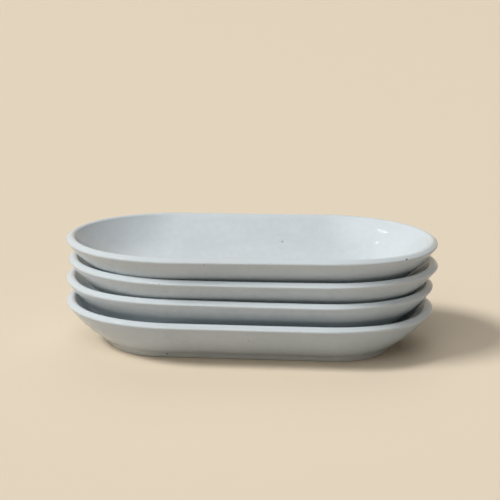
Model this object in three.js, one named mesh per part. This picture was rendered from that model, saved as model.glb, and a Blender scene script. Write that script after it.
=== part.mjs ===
// Four oval serving dishes of glazed stoneware, nested in one another.
// Millimetres, +Z up, +X along the dishes. The origin is at the centre of the lowest dish's
// foot, level with its underside.

import * as THREE from 'three';

// One dish seen from above: straight sides with half-elliptical ends. An end is this long, from
// the straight sides to its tip, in the lip and in the foot.
const LENGTH = 240;
const WIDTH = 120;
const LIP_END = 75;
const FOOT_END = 37.5;

// One dish in section. The flares are how far the lip overhangs the foot, and the cove is the
// curve from the wall into the flat of the floor, which begins this far inside the foot's edge.
const HEIGHT = 30;
const LIP_THICKNESS = 4.8;
const END_FLARE = 26.5;
const SIDE_FLARE = 23;
const WALL_BULGE = 1.7;
const FLOOR_THICKNESS = 4.2;
const COVE_INSET = 18;

// The ring that a dish stands on, and the shallow recess inside it.
const FOOT_HEIGHT = 3;
const FOOT_DRAFT = 0.9;
const FOOT_RING_WIDTH = 6;
const RECESS_DEPTH = 2;
const RECESS_SLOPE = 3;

// How the upper dishes lie, each in the one before it: off its middle along X and across it,
// and turned, in degrees.
const BOTTOM_NAME = 'bottom_dish';
const NESTED = [
  { name: 'lower_middle_dish', along: -0.4, across: 2.8, turn: -0.2 },
  { name: 'upper_middle_dish', along: 2.4, across: -0.8, turn: 1.1 },
  { name: 'top_dish', along: -0.8, across: -1.8, turn: 1.2 },
];
const SEAT_CLEARANCE = 0.35;

// Facets along each stretch of the surface, and halvings in the search for where a dish rests.
const END_STEPS = 20;
const WALL_STEPS = 4;
const LIP_STEPS = 6;
const COVE_STEPS = 7;
const SETTLING_STEPS = 24;

const GLAZE_COLOUR = 0xc3c9ce;
const GLAZE_ROUGHNESS = 0.22;

// Half a section, from the recess outwards, up the wall, over the round lip and down the cove
// to the flat of the floor. x is the reach from the middle of the dish, y is the height.
function section(rimReach, flare) {
  const footReach = rimReach - flare;
  const recessReach = footReach - FOOT_RING_WIDTH;
  const floorHeight = RECESS_DEPTH + FLOOR_THICKNESS;
  const lipRadius = LIP_THICKNESS / 2;
  const lipCentre = new THREE.Vector2(rimReach - lipRadius, HEIGHT - lipRadius);
  const footTop = new THREE.Vector2(footReach + FOOT_DRAFT, FOOT_HEIGHT);

  // The wall's chord touches the lip's circle, and the bulge turns it steeper where they meet.
  const rise = lipCentre.clone().sub(footTop);
  const chord = Math.sqrt(rise.lengthSq() - lipRadius ** 2);
  const chordAngle = rise.angle() - Math.asin(lipRadius / rise.length());
  const lipAngle = chordAngle + Math.atan((4 * WALL_BULGE) / chord);
  const alongWall = new THREE.Vector2(Math.cos(lipAngle), Math.sin(lipAngle));
  const toSkin = new THREE.Vector2(alongWall.y, -alongWall.x).multiplyScalar(lipRadius);

  const wallTop = lipCentre.clone().add(toSkin);
  const wallPull = wallTop.clone().addScaledVector(alongWall, -chord / 2);
  const wall = new THREE.QuadraticBezierCurve(footTop, wallPull, wallTop);
  const lip = new THREE.EllipseCurve(
    lipCentre.x, lipCentre.y, lipRadius, lipRadius, lipAngle - Math.PI / 2, lipAngle + Math.PI / 2,
  );
  const coveTop = lipCentre.clone().sub(toSkin);
  const covePull = new THREE.Vector2(footReach, floorHeight);
  const floorEdge = new THREE.Vector2(footReach - COVE_INSET, floorHeight);
  const cove = new THREE.QuadraticBezierCurve(coveTop, covePull, floorEdge);

  return [
    new THREE.Vector2(recessReach - RECESS_SLOPE, RECESS_DEPTH),
    new THREE.Vector2(recessReach, 0),
    new THREE.Vector2(footReach, 0),
    ...wall.getPoints(WALL_STEPS),
    ...lip.getPoints(LIP_STEPS).slice(1, -1),
    ...cove.getPoints(COVE_STEPS),
  ];
}

const ends = section(LENGTH / 2, END_FLARE);
const sides = section(WIDTH / 2, SIDE_FLARE);
const footEdge = sides.findIndex((point, i) => i > 0 && sides[i + 1].y > point.y);
const lipEdge = sides.findIndex((point, i) => sides[i + 1].x < point.x);
const floorEdge = sides.length - 1;
const footStraight = LENGTH / 2 - END_FLARE - FOOT_END;
const lipStraight = LENGTH / 2 - LIP_END;

// The section's points at a level, which may lie between two of them, with half the straight
// run of the outline there and the length of its half-elliptical end.
function level(index) {
  const low = Math.min(Math.floor(index), floorEdge - 1);
  const end = ends[low].clone().lerp(ends[low + 1], index - low);
  const side = sides[low].clone().lerp(sides[low + 1], index - low);
  const outsideFoot = Math.max(side.x - sides[footEdge].x, 0) / SIDE_FLARE;
  const straight = THREE.MathUtils.lerp(footStraight, lipStraight, outsideFoot);
  return { end, side, straight, nose: end.x - straight };
}

// The dish's outline at a level, anticlockwise from above.
function ring(index) {
  const { end, side, straight, nose } = level(index);
  const points = [];
  for (const way of [1, -1]) {
    for (let step = 0; step <= END_STEPS; step += 1) {
      const angle = Math.PI * (step / END_STEPS - 0.5);
      const x = way * (straight + nose * Math.cos(angle));
      const y = way * side.x * Math.sin(angle);
      const z = THREE.MathUtils.lerp(side.y, end.y, Math.cos(angle) ** 2);
      points.push(new THREE.Vector3(x, y, z));
    }
  }
  return points;
}

// One closed skin of rings, from the recess under the foot round the lip to the inside floor.
function dishGeometry() {
  const rings = sides.map((_, index) => ring(index));
  const count = rings[0].length;
  const vertices = rings.flat();
  const underside = vertices.push(new THREE.Vector3(0, 0, sides[0].y)) - 1;
  const floor = vertices.push(new THREE.Vector3(0, 0, sides[floorEdge].y)) - 1;
  const faces = [];
  for (let i = 0; i < count; i += 1) {
    const next = (i + 1) % count;
    faces.push(underside, next, i);
    for (let below = 0; below < floorEdge * count; below += count) {
      const above = below + count;
      faces.push(below + i, below + next, above + next);
      faces.push(below + i, above + next, above + i);
    }
    faces.push(floorEdge * count + i, floorEdge * count + next, floor);
  }
  const geometry = new THREE.BufferGeometry().setFromPoints(vertices);
  geometry.setIndex(faces);
  geometry.computeVertexNormals();
  return geometry;
}

// The height of a dish's upper surface at a place in plan, found between the widest part of the
// lip and the flat of the floor. The middle of a facet lies a little inside the round outline.
function upperHeight(x, y) {
  const facetMiddle = Math.cos(Math.PI / END_STEPS / 2);
  const towardsEnd = ({ straight, nose }) => Math.max(Math.abs(x) - straight, 0) / nose;
  const isOutside = (index) => {
    const place = level(index);
    return Math.hypot(towardsEnd(place), y / place.side.x) > facetMiddle;
  };
  if (isOutside(lipEdge)) return -Infinity;
  let outer = lipEdge;
  let inner = floorEdge;
  for (let step = 0; step < SETTLING_STEPS; step += 1) {
    const middle = (outer + inner) / 2;
    if (isOutside(middle)) inner = middle;
    else outer = middle;
  }
  const place = level(inner);
  return THREE.MathUtils.lerp(place.side.y, place.end.y, Math.min(towardsEnd(place), 1) ** 2);
}

// How high a dish stands above the one that it lies in: it is let down until some point of its
// foot, wall or lip is a clearance above the surface below.
function restHeight(along, across, turn) {
  const lay = new THREE.Matrix4().makeRotationZ(turn).setPosition(along, across, 0);
  let highest = 0;
  for (let index = footEdge; index <= lipEdge; index += 1) {
    for (const point of ring(index)) {
      const place = point.applyMatrix4(lay);
      highest = Math.max(highest, upperHeight(place.x, place.y) - place.z);
    }
  }
  return highest + SEAT_CLEARANCE;
}

function dish(name) {
  const glaze = new THREE.MeshStandardMaterial({
    color: GLAZE_COLOUR, roughness: GLAZE_ROUGHNESS, metalness: 0,
  });
  const mesh = new THREE.Mesh(dishGeometry(), glaze);
  mesh.name = name;
  return mesh;
}

// Each dish is placed in the one below it, so lifting one carries those above.
const stack = new THREE.Group();
stack.add(dish(BOTTOM_NAME));
let holder = stack;
for (const { name, along, across, turn } of NESTED) {
  const angle = THREE.MathUtils.degToRad(turn);
  const nested = new THREE.Group();
  nested.position.set(along, across, restHeight(along, across, angle));
  nested.rotation.z = angle;
  nested.add(dish(name));
  holder.add(nested);
  holder = nested;
}

export default stack;
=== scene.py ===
import math

import bpy
from mathutils import Matrix, Vector
from mathutils.geometry import interpolate_bezier


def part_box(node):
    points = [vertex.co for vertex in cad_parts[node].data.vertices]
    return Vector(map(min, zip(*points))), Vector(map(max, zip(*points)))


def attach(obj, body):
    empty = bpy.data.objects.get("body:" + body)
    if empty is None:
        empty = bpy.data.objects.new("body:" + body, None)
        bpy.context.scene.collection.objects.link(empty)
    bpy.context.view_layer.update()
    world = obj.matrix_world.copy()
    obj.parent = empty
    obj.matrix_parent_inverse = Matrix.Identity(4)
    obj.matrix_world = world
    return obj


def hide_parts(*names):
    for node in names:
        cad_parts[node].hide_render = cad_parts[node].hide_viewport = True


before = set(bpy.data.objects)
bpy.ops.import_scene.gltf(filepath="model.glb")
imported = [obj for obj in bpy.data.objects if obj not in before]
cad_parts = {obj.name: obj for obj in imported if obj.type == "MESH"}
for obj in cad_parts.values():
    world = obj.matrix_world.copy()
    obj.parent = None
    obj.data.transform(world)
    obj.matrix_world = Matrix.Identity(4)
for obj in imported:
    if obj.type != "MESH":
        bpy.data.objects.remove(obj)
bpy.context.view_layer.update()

# The dishes. Each is one piece of stoneware, cast with flared walls, a thick lip and a low foot ring,
# then dipped in a pale blue-grey glaze that fires glossy. The foot is wiped before the firing, so its
# underside stays bare. They nest loosely, each a little off the one below.
mm = 0.001
dish_low, dish_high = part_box("bottom_dish")
length, width, height = dish_high - dish_low
lip_end = 75 * mm
foot_end = 37.5 * mm
lip_thickness = 5.8 * mm
lip_set_in = 0.5 * mm
lip_outer_corner = 1.2 * mm
lip_inner_corner = 2.6 * mm
end_flare = 26.5 * mm
side_flare = 23 * mm
wall_bulge = 1.7 * mm
floor_thickness = 4.2 * mm
cove_inset = 18 * mm
foot_height = 3 * mm
foot_draft = 0.5 * mm
foot_ring_width = 6 * mm
recess_depth = 2 * mm
recess_slope = 3 * mm
foot_edge_round = 1 * mm
crease_round = 1.8 * mm
rim_sway = 0.25 * mm
thin_fade = 1.2 * mm

straight_steps = 14
end_steps = 48
wall_steps = 16
lip_steps = 10
cove_steps = 24
round_steps = 4
floor_rings = 6


def between(first, second, share):
    return first + (second - first) * share


def curve(start, pull, finish, steps):
    """Points along a parabola that leaves start and reaches finish in line with pull."""
    pull_in = between(start, pull, 2 / 3)
    pull_out = between(finish, pull, 2 / 3)
    return [p.to_2d() for p in interpolate_bezier(start, pull_in, pull_out, finish, steps + 1)]


def rounded(corner, before, after, reach):
    start = corner + (before - corner).normalized() * reach
    finish = corner + (after - corner).normalized() * reach
    return curve(start, corner, finish, round_steps)


def section(rim_reach, flare):
    """Half a section from the recess round the foot, wall and lip to the floor, by stretches."""
    foot_reach = rim_reach - flare
    floor_height = recess_depth + floor_thickness
    lip_radius = lip_thickness / 2
    lip_centre = Vector((rim_reach - lip_radius - lip_set_in, height - lip_radius))
    recess_edge = Vector((foot_reach - foot_ring_width - recess_slope, recess_depth))
    ring_inside = Vector((foot_reach - foot_ring_width, 0))
    ring_outside = Vector((foot_reach, 0))
    crease = Vector((foot_reach + foot_draft, foot_height))

    rise = lip_centre - crease
    chord = math.sqrt(rise.length_squared - lip_radius ** 2)
    chord_angle = math.atan2(rise.y, rise.x) - math.asin(lip_radius / rise.length)
    lip_angle = chord_angle + math.atan(4 * wall_bulge / chord)
    along_wall = Vector((math.cos(lip_angle), math.sin(lip_angle)))
    outwards = Vector((along_wall.y, -along_wall.x))
    wall_top = lip_centre + outwards * lip_radius
    wall_pull = wall_top - along_wall * chord / 2
    cove_top = lip_centre - outwards * lip_radius
    wall_start = crease + (wall_pull - crease).normalized() * crease_round
    floor_corner = Vector((foot_reach, floor_height))
    floor_edge = Vector((foot_reach - cove_inset, floor_height))

    # The lip is cut square to the wall, and its inner corner is rounded more than its outer one.
    inner_aside = lip_radius - lip_inner_corner
    inner_along = inner_aside * math.tan(lip_angle / 2)
    outer_aside = lip_radius - lip_outer_corner
    outer_along = inner_along + lip_inner_corner - lip_outer_corner
    inner_centre = lip_centre - outwards * inner_aside + along_wall * inner_along
    outer_centre = lip_centre + outwards * outer_aside + along_wall * outer_along
    lip = []
    corners = ((outer_centre, lip_outer_corner, -90), (inner_centre, lip_inner_corner, 0))
    for centre, corner, turned in corners:
        for step in range(lip_steps + 1):
            angle = lip_angle + math.radians(turned + 90 * step / lip_steps)
            lip.append(centre + Vector((math.cos(angle), math.sin(angle))) * corner)

    return {
        "recess": rounded(recess_edge, Vector((0, recess_depth)), ring_inside, foot_edge_round),
        "ring_inside": rounded(ring_inside, recess_edge, ring_outside, foot_edge_round),
        "ring_outside": rounded(ring_outside, ring_inside, crease, foot_edge_round),
        "crease": rounded(crease, ring_outside, wall_pull, crease_round)[:-1],
        "wall": curve(wall_start, wall_pull, wall_top, wall_steps),
        "lip": lip,
        "cove": curve(cove_top, floor_corner, floor_edge, cove_steps),
    }


end_stretches = section(length / 2, end_flare)
side_stretches = section(width / 2, side_flare)
ends = [point for stretch in end_stretches.values() for point in stretch]
sides = [point for stretch in side_stretches.values() for point in stretch]
stretch_names = [name for name, stretch in side_stretches.items() for _ in stretch]

# Where the glaze runs thin: all over the lip, and fading out at the top of the wall and of the cove.
lip_from = len(sides) - len(side_stretches["lip"]) - len(side_stretches["cove"])
lip_to = len(sides) - len(side_stretches["cove"])
thin_shares = []
for index, point in enumerate(sides):
    edge = sides[min(max(index, lip_from), lip_to - 1)]
    thin_shares.append(max(1 - (point - edge).length / thin_fade, 0))

side_foot = width / 2 - side_flare
foot_straight = length / 2 - end_flare - foot_end
lip_straight = length / 2 - lip_end


def outline(end, side, shrink=1.0):
    """The dish's outline through one level of the section, anticlockwise from above."""
    outside_foot = max(side.x - side_foot, 0) / side_flare
    straight = between(foot_straight, lip_straight, outside_foot)
    nose = end.x - straight
    points = []
    for way in (1, -1):
        for step in range(end_steps + 1):
            angle = math.pi * (step / end_steps - 0.5)
            x = straight + nose * math.cos(angle)
            y = side.x * math.sin(angle)
            z = between(side.y, end.y, math.cos(angle) ** 2)
            points.append(Vector((way * x * shrink, way * y * shrink, z)))
        for step in range(1, straight_steps):
            x = between(straight, -straight, step / straight_steps)
            points.append(Vector((way * x * shrink, way * side.x * shrink, side.y)))
    return points


# Along the dish the droop follows along ** 6 * (1 - along ** 2). This brings its highest value to 1.
droop_gain = 9.48


def fired(point, sag, lean, left_droop, right_droop, phase):
    """Where a point ends up after the firing: the rim sags mid-length, leans, droops and sways."""
    along = 2 * point.x / length
    around = math.atan2(point.y / width, point.x / length)
    share = (point.z / height) ** 2
    droop = right_droop if along > 0 else left_droop
    to_front = 0.5 - point.y / width
    near_corner = droop_gain * along ** 6 * (1 - along ** 2) * to_front
    drop = sag * (1 - along ** 2) ** 2 + lean * along + droop * near_corner
    sway = math.sin(2 * around - phase) + 0.5 * math.sin(5 * around + phase)
    outwards = Vector((point.x, point.y, 0)).normalized()
    return point + share * (outwards * rim_sway * sway - Vector((0, 0, drop * mm)))


def dish_mesh(name, warp):
    shrinks = [ring / floor_rings for ring in range(1, floor_rings)]
    levels = [(ends[0], sides[0], shrink) for shrink in shrinks]
    levels += [(end, side, 1.0) for end, side in zip(ends, sides)]
    levels += [(ends[-1], sides[-1], shrink) for shrink in reversed(shrinks)]
    names = ["recess"] * len(shrinks) + stretch_names + ["floor"] * len(shrinks)
    shares = [0.0] * len(shrinks) + thin_shares + [0.0] * len(shrinks)
    rings = [outline(*level) for level in levels]
    count = len(rings[0])
    vertices = [fired(point, **warp) for ring in rings for point in ring]
    vertices += [Vector((0, 0, sides[0].y)), Vector((0, 0, sides[-1].y))]
    under_middle, floor_middle = len(vertices) - 2, len(vertices) - 1
    last = (len(rings) - 1) * count
    faces, bare = [], []
    for i in range(count):
        after = (i + 1) % count
        faces.append((under_middle, after, i))
        bare.append(False)
        for below in range(0, last, count):
            above = below + count
            faces.append((below + i, below + after, above + after, above + i))
            level = below // count
            bare.append(names[level] == "ring_inside" and names[level + 1] == "ring_outside")
        faces.append((last + i, last + after, floor_middle))
        bare.append(False)
    mesh = bpy.data.meshes.new(name)
    mesh.from_pydata(vertices, [], faces)
    for polygon, is_bare in zip(mesh.polygons, bare):
        polygon.use_smooth = True
        polygon.material_index = int(is_bare)
    thin = mesh.attributes.new("glaze_thin", "FLOAT", "POINT")
    thin.data.foreach_set("value", [v for share in shares for v in [share] * count] + [0, 0])
    mesh.update()
    return mesh


class Shade:
    """One socket in a material's nodes. Arithmetic on it adds Math nodes."""

    def __init__(self, tree, socket=None):
        self.tree = tree
        self.socket = socket

    def node(self, kind, settings, inputs, output=0):
        """Add a node, set it, then give its sockets their values or links."""
        node = self.tree.nodes.new("ShaderNode" + kind)
        for name, value in settings.items():
            setattr(node, name, value)
        for name, value in inputs.items():
            if isinstance(value, Shade):
                self.tree.links.new(value.socket, node.inputs[name])
            else:
                node.inputs[name].default_value = value
        return Shade(self.tree, node.outputs[output])

    def math(self, operation, first, second=0.0):
        return self.node("Math", {"operation": operation}, {0: first, 1: second})

    def __add__(self, other):
        return self.math("ADD", self, other)

    __radd__ = __add__

    def __sub__(self, other):
        return self.math("SUBTRACT", self, other)

    def __rsub__(self, other):
        return self.math("SUBTRACT", other, self)

    def __mul__(self, other):
        return self.math("MULTIPLY", self, other)

    __rmul__ = __mul__

    def rises(self, low, high):
        """0 below low, 1 above high and smooth between them. It falls where low is the larger."""
        settings = {"interpolation_type": "SMOOTHSTEP"}
        return self.node("MapRange", settings, {"Value": self, "From Min": low, "From Max": high})

    def mixed(self, first, second):
        """The first colour where this is 0 and the second where it is 1."""
        return self.node("Mix", {"data_type": "RGBA"}, {0: self, 6: first, 7: second}, output=2)


def linear(red, green, blue):
    """A colour as it looks, given as 0 to 255, in the linear values that materials take."""
    def channel(value):
        share = value / 255
        return share / 12.92 if share <= 0.04045 else ((share + 0.055) / 1.055) ** 2.4
    return (channel(red), channel(green), channel(blue), 1)


def blank_material(name):
    """A material with its finish ready to set, and a start for its nodes."""
    material = bpy.data.materials.new(name)
    material.use_nodes = True
    tree = material.node_tree
    return material, tree.nodes["Principled BSDF"].inputs, Shade(tree)


def feed(inputs, name, shade):
    shade.tree.links.new(shade.socket, inputs[name])


glaze_colour = linear(209, 217, 221)
cloud_colour = linear(200, 209, 214)
# Painted light: a paler colour for the foot band, lifting the shade that falls there under the flared
# wall.
painted_foot_light_colour = linear(228, 232, 230)
iron_colour = linear(74, 66, 58)
clay_colour = linear(206, 190, 164)
clay_dark_colour = linear(176, 156, 128)

cloud_scale = 17
mottle_scale = 260
peel_scale = 420
wave_scale = 38
speck_cell_scale = 95
speck_reach = 0.352 * mm
rare_from = 0.9
spot_core = 0.45


def specks(place, spots):
    """Iron specks burnt through the glaze: a sparse scatter, and the bigger ones at given places."""
    cells = {"feature": "F1"}
    scatter = {"Vector": place, "Scale": speck_cell_scale}
    from_speck = place.node("TexVoronoi", cells, scatter, output="Distance")
    chance = place.node("TexVoronoi", cells, scatter, output="Color")
    rarity = place.node("SeparateColor", {}, {"Color": chance}).rises(rare_from, 1)
    mask = from_speck.rises(speck_reach * speck_cell_scale, 0) * rarity
    for x, y, z, radius in spots:
        spot = Vector((x, y, z)) * mm
        gap = place.node("VectorMath", {"operation": "DISTANCE"}, {0: place, 1: spot}, output="Value")
        mask = place.math("MAXIMUM", mask, gap.rises(radius * mm, radius * mm * spot_core))
    return mask


def glaze(name, drift, spots):
    """Glossy blue-grey glaze, too thin to cloud over the lip. Round the foot it is painted paler, as
    painted light that lifts the foot's shade.
    """
    material, finish, start = blank_material(name)
    place = start.node("TexCoord", {}, {}, output="Object")
    level = start.node("SeparateXYZ", {}, {"Vector": place}, output="Z")
    drifted = start.node("VectorMath", {"operation": "ADD"}, {0: place, 1: drift})

    clouds = start.node("TexNoise", {}, {"Vector": drifted, "Scale": cloud_scale, "Detail": 3})
    mottle = start.node("TexNoise", {}, {"Vector": drifted, "Scale": mottle_scale, "Detail": 2})
    cloudiness = (0.7 * clouds + 0.3 * mottle).rises(0.38, 0.66)
    crest = start.node("Attribute", {"attribute_name": "glaze_thin"}, {}, output="Fac")
    # Painted light: the foot band, which is painted paler to lift its shade.
    painted_foot_light = level.rises(foot_height + 2 * mm, foot_height - 0.5 * mm)
    iron = specks(place, spots)

    colour = cloudiness.mixed(glaze_colour, cloud_colour)
    colour = (crest * (0.75 + 0.25 * mottle)).mixed(colour, glaze_colour)
    colour = painted_foot_light.mixed(colour, painted_foot_light_colour)
    colour = (0.92 * iron).mixed(colour, iron_colour)
    feed(finish, "Base Color", colour)
    feed(finish, "Roughness", 0.05 + 0.04 * clouds + 0.02 * mottle + 0.25 * iron)

    waves = start.node("TexNoise", {}, {"Vector": drifted, "Scale": wave_scale, "Detail": 1})
    peel = start.node("TexNoise", {}, {"Vector": drifted, "Scale": peel_scale, "Detail": 1})
    wavy = {"Height": waves, "Strength": 0.35, "Distance": 0.5 * mm}
    slow = start.node("Bump", {}, wavy, output="Normal")
    pitted = {"Height": peel - 1.5 * iron, "Strength": 0.3, "Distance": 0.04 * mm, "Normal": slow}
    feed(finish, "Normal", start.node("Bump", {}, pitted, output="Normal"))
    return material


grain_scale = 900
patch_scale = 60


def bare_clay(name):
    """Unglazed buff stoneware, dry and a little gritty."""
    material, finish, start = blank_material(name)
    place = start.node("TexCoord", {}, {}, output="Object")
    grain = start.node("TexNoise", {}, {"Vector": place, "Scale": grain_scale, "Detail": 4})
    patches = start.node("TexNoise", {}, {"Vector": place, "Scale": patch_scale, "Detail": 2})
    colour = (0.6 * grain + 0.4 * patches).rises(0.35, 0.7).mixed(clay_colour, clay_dark_colour)
    feed(finish, "Base Color", colour)
    feed(finish, "Roughness", 0.78 + 0.16 * grain)
    gritty = {"Height": grain, "Strength": 0.5, "Distance": 0.15 * mm}
    feed(finish, "Normal", start.node("Bump", {}, gritty, output="Normal"))
    return material


# How each dish lies and came out of the kiln: its turn in degrees, how its rim warped, in millimetres
# apart from the phase of its sway, and the specks that show most, each with its place in the dish's own
# millimetres and its radius.
dishes = {
    "bottom": {
        "turn": 0,
        "warp": {"sag": 0.5, "lean": 0, "left_droop": 0.9, "right_droop": 1.6, "phase": 0.4},
        "specks": [(-50.6, -38.0, 2.8, 0.9), (1.1, -54.7, 19.1, 0.5)],
    },
    "lower_middle": {
        "turn": -0.2,
        "warp": {"sag": 0.6, "lean": 0.25, "left_droop": 1.6, "right_droop": 0.6, "phase": 2.1},
        "specks": [],
    },
    "upper_middle": {
        "turn": 0.9,
        "warp": {"sag": 0.9, "lean": -0.1, "left_droop": 0.5, "right_droop": 0.5, "phase": 3.6},
        "specks": [(-56.6, -59.2, 27.7, 0.5)],
    },
    "top": {
        "turn": 2.1,
        "warp": {"sag": 0.2, "lean": -0.3, "left_droop": 0.7, "right_droop": 1.3, "phase": 5.2},
        "specks": [
            (21.1, 40.7, 14.3, 0.8),
            (94.7, -44.6, 27.8, 1.0),
            (-85.6, -42.1, 16.1, 0.5),
            (-29.6, -59.8, 26.7, 0.45),
        ],
    },
}
clay = bare_clay("bare_clay")
for order, (body, kiln) in enumerate(dishes.items()):
    node = body + "_dish"
    dish_low, dish_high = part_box(node)
    dish = bpy.data.objects.new("glazed_" + node, dish_mesh("glazed_" + node, kiln["warp"]))
    bpy.context.scene.collection.objects.link(dish)
    dish.data.materials.append(glaze(body + "_glaze", Vector((0, 0, order)), kiln["specks"]))
    dish.data.materials.append(clay)
    middle = (dish_low + dish_high) / 2
    dish.location = (middle.x, middle.y, dish_low.z)
    dish.rotation_euler.z = math.radians(kiln["turn"])
    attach(dish, body)
    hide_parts(node)

# The floor. A plain pale matt sheet under the dishes, wide enough to fill every view. It throws less
# light back up at their walls than it shows.
floor_size = 60
floor_colour = linear(234, 219, 196)
bounced_colour = linear(206, 197, 185)


def looked_at(start):
    """1 where the floor or backdrop is seen, straight or in a gloss, and 0 where it only lights."""
    seen = start.node("LightPath", {}, {}, output="Is Camera Ray")
    mirrored = start.node("LightPath", {}, {}, output="Is Glossy Ray")
    through = start.node("LightPath", {}, {}, output="Is Transmission Ray")
    return seen + mirrored + through


floor_mesh = bpy.data.meshes.new("floor")
half = floor_size / 2
floor_mesh.from_pydata(
    [(-half, -half, 0), (half, -half, 0), (half, half, 0), (-half, half, 0)], [], [(0, 1, 2, 3)],
)
floor = bpy.data.objects.new("floor", floor_mesh)
bpy.context.scene.collection.objects.link(floor)
sheet, sheet_finish, start = blank_material("floor")
feed(sheet_finish, "Base Color", looked_at(start).mixed(bounced_colour, floor_colour))
sheet_finish["Roughness"].default_value = 0.9
floor.data.materials.append(sheet)

# The light. A soft key on the left, a wide fill from the front, a weaker one from behind and a faint
# even surround. Two small lamps on the left give the glints. Past the floor a pale backdrop shows.
surround_colour = linear(250, 250, 250)
surround_level = 0.04
backdrop_level = 0.88
world = bpy.data.worlds.new("surround")
bpy.context.scene.world = world
world.use_nodes = True
start = Shade(world.node_tree)
surround = start.node("Background", {}, {"Color": surround_colour, "Strength": surround_level})
backdrop = start.node("Background", {}, {"Color": floor_colour, "Strength": backdrop_level})
shown = start.node("MixShader", {}, {0: looked_at(start), 1: surround, 2: backdrop})
feed(world.node_tree.nodes["World Output"].inputs, "Surface", shown)


def soft_lamp(name, azimuth, elevation, distance, wide, tall, level, mirrored):
    """A lamp that looks so many degrees wide and tall. Azimuth 0 is on the right, and 90 is behind."""
    lamp_data = bpy.data.lights.new(name, "AREA")
    lamp_data.shape = "ELLIPSE"
    lamp_data.size = 2 * distance * math.tan(math.radians(wide / 2))
    lamp_data.size_y = 2 * distance * math.tan(math.radians(tall / 2))
    lamp_data.energy = level * (math.pi * distance) ** 2
    lamp = bpy.data.objects.new(name, lamp_data)
    around, up = math.radians(azimuth), math.radians(elevation)
    towards = Vector((math.cos(around) * math.cos(up), math.sin(around) * math.cos(up), math.sin(up)))
    lamp.location = towards * distance
    lamp.rotation_euler = towards.to_track_quat("Z", "Y").to_euler()
    lamp.visible_glossy = mirrored
    bpy.context.scene.collection.objects.link(lamp)
    return lamp


far = 120
near = 4
soft_lamp("left_key", 201, 47, far, wide=20, tall=14, level=0.72, mirrored=False)
# The front fill is four lamps, one behind another, so that its image in the glaze has no hard edge.
for wide, forward, level in ((30, 6, 0.04), (46, 4, 0.09), (60, 2, 0.12), (74, 0, 0.13)):
    soft_lamp("front_fill", 250, 52, far - forward, wide, wide, level, mirrored=True)
soft_lamp("back_fill", 90, 56, far, wide=50, tall=50, level=0.2, mirrored=False)
# The upper glint's lamp is long and thin, and tilted in its own plane, so that its streak slants.
upper_glint = soft_lamp("upper_glint", 185, 54.5, near, wide=14, tall=0.9, level=0.008, mirrored=True)
upper_glint.rotation_euler.rotate_axis("Z", math.radians(18))
soft_lamp("lower_glint", 165, 59, near, wide=2.2, tall=2.2, level=0.0045, mirrored=True)

# The camera. A long lens a little above the dishes, as in the photograph.
camera_elevation = math.radians(15.72)
camera_yaw = math.radians(1.32)
camera_roll = math.radians(1.08)
camera_target = Vector((-0.2, 0, 62.0)) * mm
camera_distance = 828.88 * mm
focal_pixels = 1273.96
picture_pixels = 500
camera_data = bpy.data.cameras.new("camera")
camera_data.lens = focal_pixels / picture_pixels * camera_data.sensor_width
camera = bpy.data.objects.new("camera", camera_data)
back = Vector((
    math.sin(camera_yaw) * math.cos(camera_elevation),
    -math.cos(camera_yaw) * math.cos(camera_elevation),
    math.sin(camera_elevation),
))
right = Vector((math.cos(camera_yaw), math.sin(camera_yaw), 0))
up = back.cross(right)
turned_right = right * math.cos(camera_roll) + up * math.sin(camera_roll)
turned_up = up * math.cos(camera_roll) - right * math.sin(camera_roll)
camera.matrix_world = (
    Matrix.Translation(camera_target + back * camera_distance)
    @ Matrix((turned_right, turned_up, back)).transposed().to_4x4()
)
bpy.context.scene.collection.objects.link(camera)
bpy.context.scene.camera = camera
bpy.context.scene.view_settings.view_transform = "Standard"
